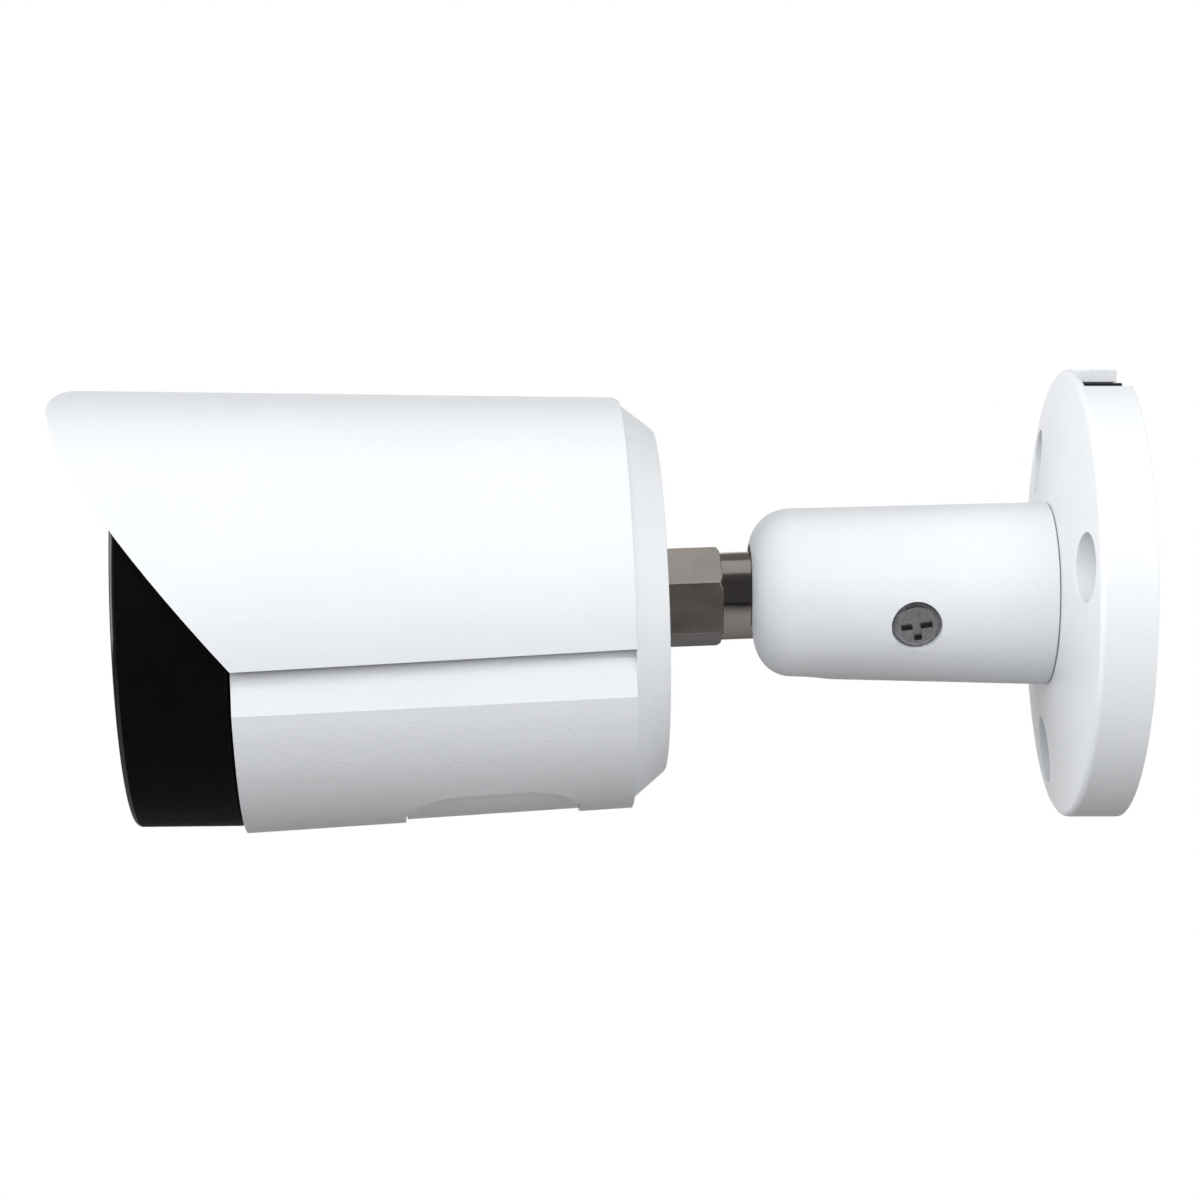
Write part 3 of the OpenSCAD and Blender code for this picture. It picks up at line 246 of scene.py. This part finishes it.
LOOK = {
    "white": ["rear_cap", "housing", "access_cover"],
    "bracket": ["wall_flange", "neck"],
    "shield": ["sunshield"],
    "black": ["front_bezel", "lens_barrel", "lens_holder", "reset_button"],
    "rubber": ["back_pad", "cable_grommet", "shaft_o_ring", "rear_cap_o_ring", "bezel_o_ring",
               "glass_gasket", "lens_shroud", "cover_seal"],
    "nickel": ["ball_shaft"],
    "steel": ["neck_washer", "neck_retaining_ring", "clamp_screw", "shaft_nut", "rear_cap_screws",
              "sunshield_screws", "frame_screws", "board_screws", "card_socket", "reset_switch",
              "cover_screw"],
    "brass": ["pressure_seat", "shaft_washer", "led_board_posts", "ir_cut_coil", "sensor_board_posts"],
    "board": ["led_board", "sensor_board", "main_board"],
    "chip": ["light_sensor", "ir_cut_frame", "image_sensor", "inner_frame", "processor", "memory_card"],
    "pale": ["board_connector"],
    "film": ["ribbon_cable"],
    "window": ["front_glass"],
    "lens": ["ir_leds", "lens_elements", "ir_cut_filters"],
}

for look, names in LOOK.items():
    for name in names:
        data = frame["nodes"][name].data
        data.materials.clear()
        data.materials.append(MATERIAL[look])


# ---------------------------------------------------------------- softened metalwork

SOFT_EDGE = {                     # node: (edge radius, segments), in mm
    "wall_flange": (0.35, 3), "neck": (0.3, 3), "rear_cap": (0.3, 3), "housing": (0.35, 3),
    "access_cover": (0.3, 2), "sunshield": (0.45, 3), "front_bezel": (0.15, 2),
    "ball_shaft": (0.22, 2), "clamp_screw": (0.12, 2), "cover_screw": (0.1, 2),
    "sunshield_screws": (0.1, 2), "rear_cap_screws": (0.1, 2),
}
ROUNDED_ABOVE = math.radians(24)   # edges that turn by more are rounded
FLAT_BELOW = math.radians(0.6)     # faces that turn by less are joined up
SHARP_ABOVE = math.radians(30)     # edges that turn by more are shaded sharp
SAME_POINT = 1e-7                  # metres
GLOSS_RIM = 0.9 * MM               # depth of the bezel's polished front edge
BODY_OF = {node: body for body, nodes in frame["record"]["behaviour"]["bodies"].items() for node in nodes}


def soft_copy(node, radius, segments):
    """A copy of a CAD node whose flat facets are joined up and whose edges are rounded."""
    source = frame["nodes"][node]
    bm = bmesh.new()
    bm.from_mesh(source.data)
    bmesh.ops.remove_doubles(bm, verts=bm.verts, dist=SAME_POINT)
    bmesh.ops.dissolve_limit(bm, angle_limit=FLAT_BELOW, verts=bm.verts, edges=bm.edges)
    bm.edges.ensure_lookup_table()
    edges = [e for e in bm.edges if len(e.link_faces) == 2 and e.calc_face_angle(0) > ROUNDED_ABOVE]
    bmesh.ops.bevel(bm, geom=edges, offset=radius * MM, offset_type="OFFSET", segments=segments,
                    profile=0.5, affect="EDGES", clamp_overlap=True, harden_normals=False)
    data = bpy.data.meshes.new(node + "_body")
    bm.to_mesh(data)
    bm.free()
    for polygon in data.polygons:
        polygon.use_smooth = True
    data.set_sharp_from_angle(angle=SHARP_ABOVE)
    piece = bpy.data.objects.new(node + "_body", data)
    bpy.context.scene.collection.objects.link(piece)
    look = next(key for key, names in LOOK.items() if node in names)
    data.materials.append(MATERIAL[look])
    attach(piece, BODY_OF[node])
    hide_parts(node)
    normals = piece.modifiers.new("normals", "WEIGHTED_NORMAL")
    normals.keep_sharp = True
    return piece


def gloss_rim(piece, depth):
    """The moulding's front edge, depth metres of it, is polished."""
    axis = next(joint["axis"] for joint in frame["joints"] if joint["name"] == "rotate")
    ahead = Vector(axis).normalized()
    piece.data.materials.append(MATERIAL["gloss"])
    front = max(ahead.dot(polygon.center) for polygon in piece.data.polygons)
    for polygon in piece.data.polygons:
        if ahead.dot(polygon.center) > front - depth:
            polygon.material_index = 1


PIECES = {name: soft_copy(name, radius, segments) for name, (radius, segments) in SOFT_EDGE.items()}
gloss_rim(PIECES["front_bezel"], GLOSS_RIM)


# ---------------------------------------------------------------- camera, floor and light

PHOTO = 1200                      # the photo's width and height
CAMERA_AT = Vector((0.4791, -0.0917, -0.00045))
CAMERA_YAW = math.radians(1.258)  # turned from straight across the object towards the wall
CAMERA_PITCH = math.radians(-0.069)
CAMERA_ROLL = math.radians(-0.037)
FOCAL = 3062                      # in the photo's pixels
SENSOR = 36.0                     # mm
CLIP = (0.01, 20)


def make_camera():
    data = bpy.data.cameras.new("camera")
    data.sensor_width = SENSOR
    data.lens = FOCAL / PHOTO * SENSOR
    data.clip_start, data.clip_end = CLIP
    camera = bpy.data.objects.new("camera", data)
    bpy.context.scene.collection.objects.link(camera)
    turn = Matrix.Rotation(-CAMERA_YAW, 3, "Z") @ Matrix.Rotation(CAMERA_PITCH, 3, "Y")
    forward, right, up = turn @ Vector((-1, 0, 0)), turn @ Vector((0, 1, 0)), turn @ Vector((0, 0, 1))
    c, s = math.cos(CAMERA_ROLL), math.sin(CAMERA_ROLL)
    right, up = c * right + s * up, c * up - s * right
    axes = Matrix((right, up, -forward)).transposed().to_4x4()
    camera.matrix_world = Matrix.Translation(CAMERA_AT) @ axes
    bpy.context.scene.camera = camera


def area_light(name, at, towards, width, height, power, reflected):
    data = bpy.data.lights.new(name, "AREA")
    data.shape = "RECTANGLE"
    data.size = width
    data.size_y = height
    data.energy = power
    light = bpy.data.objects.new(name, data)
    light.location = at
    light.visible_glossy = reflected
    light.rotation_euler = (Vector(towards) - Vector(at)).to_track_quat("-Z", "Y").to_euler()
    bpy.context.scene.collection.objects.link(light)


def sky_colour(tree):
    """White all round at eye level, dimmer overhead, dark below and dim on the viewer's side."""
    place = tree.nodes.new("ShaderNodeTexCoord").outputs["Generated"]
    parts = tree.nodes.new("ShaderNodeSeparateXYZ")
    tree.links.new(place, parts.inputs["Vector"])
    colours = []
    for axis, stops in SKY_STOPS.items():
        span = tree.nodes.new("ShaderNodeMapRange")
        span.inputs["From Min"].default_value = -1
        tree.links.new(parts.outputs[axis], span.inputs["Value"])
        ramp = tree.nodes.new("ShaderNodeValToRGB")
        ramp.color_ramp.interpolation = "EASE"
        while len(ramp.color_ramp.elements) < len(stops):
            ramp.color_ramp.elements.new(0.5)
        for element, (direction, value) in zip(ramp.color_ramp.elements, stops):
            element.position = (direction + 1) / 2
            element.color = (*grey(value), 1)
        tree.links.new(span.outputs["Result"], ramp.inputs["Fac"])
        colours.append(ramp.outputs["Color"])
    mix = tree.nodes.new("ShaderNodeMix")
    mix.data_type = "RGBA"
    mix.blend_type = "MULTIPLY"
    mix.inputs["Factor"].default_value = 1
    tree.links.new(colours[0], mix.inputs["A"])
    tree.links.new(colours[1], mix.inputs["B"])
    return mix.outputs["Result"]


# Brightness of the surroundings by direction: (component of the direction, brightness)
SKY_STOPS = {
    "Z": [(-1.0, 0.02), (-0.34, 0.04), (-0.24, 1.0), (0.30, 1.0), (0.55, 0.75), (1.0, 0.70)],
    "X": [(-1.0, 1.0), (-0.93, 1.0), (-0.82, 0.34), (-0.2, 0.30), (0.45, 0.14), (1.0, 0.08)],
}
FLOOR_Z = -0.85
FLOOR_SIZE = 3.6
FLOOR_TONES = (0.50, 0.52)
CENTRE = (0, -0.09, 0)             # where the soft boxes point
# name: place, width and height in metres, power in watts, whether glossy surfaces show it
SOFT_BOXES = {
    "front_box": ((0.95, -0.1, 0.40), 1.9, 0.75, 13.5, False),
    "top_box": ((0.1, -0.1, 1.0), 1.2, 0.8, 1.8, True),
    "left_box": ((0.25, -1.25, 0.25), 1.0, 1.0, 13.0, True),
    "right_box": ((0.5, 1.1, 0.2), 0.8, 0.8, 5.6, True),
}


def make_world():
    """The sky lights the object, behind a plain white backdrop."""
    world = bpy.data.worlds.new("surroundings")
    world.use_nodes = True
    tree = world.node_tree
    sky = tree.nodes["Background"]
    tree.links.new(sky_colour(tree), sky.inputs["Color"])
    backdrop = tree.nodes.new("ShaderNodeBackground")
    backdrop.inputs["Color"].default_value = (*grey(1.0), 1)
    choice = tree.nodes.new("ShaderNodeMixShader")
    tree.links.new(tree.nodes.new("ShaderNodeLightPath").outputs["Is Camera Ray"], choice.inputs["Fac"])
    tree.links.new(sky.outputs["Background"], choice.inputs[1])
    tree.links.new(backdrop.outputs["Background"], choice.inputs[2])
    tree.links.new(choice.outputs["Shader"], tree.nodes["World Output"].inputs["Surface"])
    bpy.context.scene.world = world


def make_floor():
    bm = bmesh.new()
    bmesh.ops.create_grid(bm, x_segments=4, y_segments=4, size=FLOOR_SIZE / 2)
    data = bpy.data.meshes.new("floor")
    bm.to_mesh(data)
    bm.free()
    floor = bpy.data.objects.new("floor", data)
    floor.location = (0, 0, FLOOR_Z)
    bpy.context.scene.collection.objects.link(floor)
    n = Nodes("pale_floor")
    n.colour(n.noise(3), *map(grey, FLOOR_TONES))
    n.set(Roughness=0.9)
    data.materials.append(n.material)


def make_stage():
    """A pale floor well below the camera, white surroundings, and soft boxes on the viewer's side."""
    make_floor()
    make_world()
    for name, (place, width, height, power, reflected) in SOFT_BOXES.items():
        area_light(name, place, CENTRE, width, height, power, reflected)
    view = bpy.context.scene.view_settings
    view.view_transform = "Standard"
    view.look = "None"


make_camera()
make_stage()
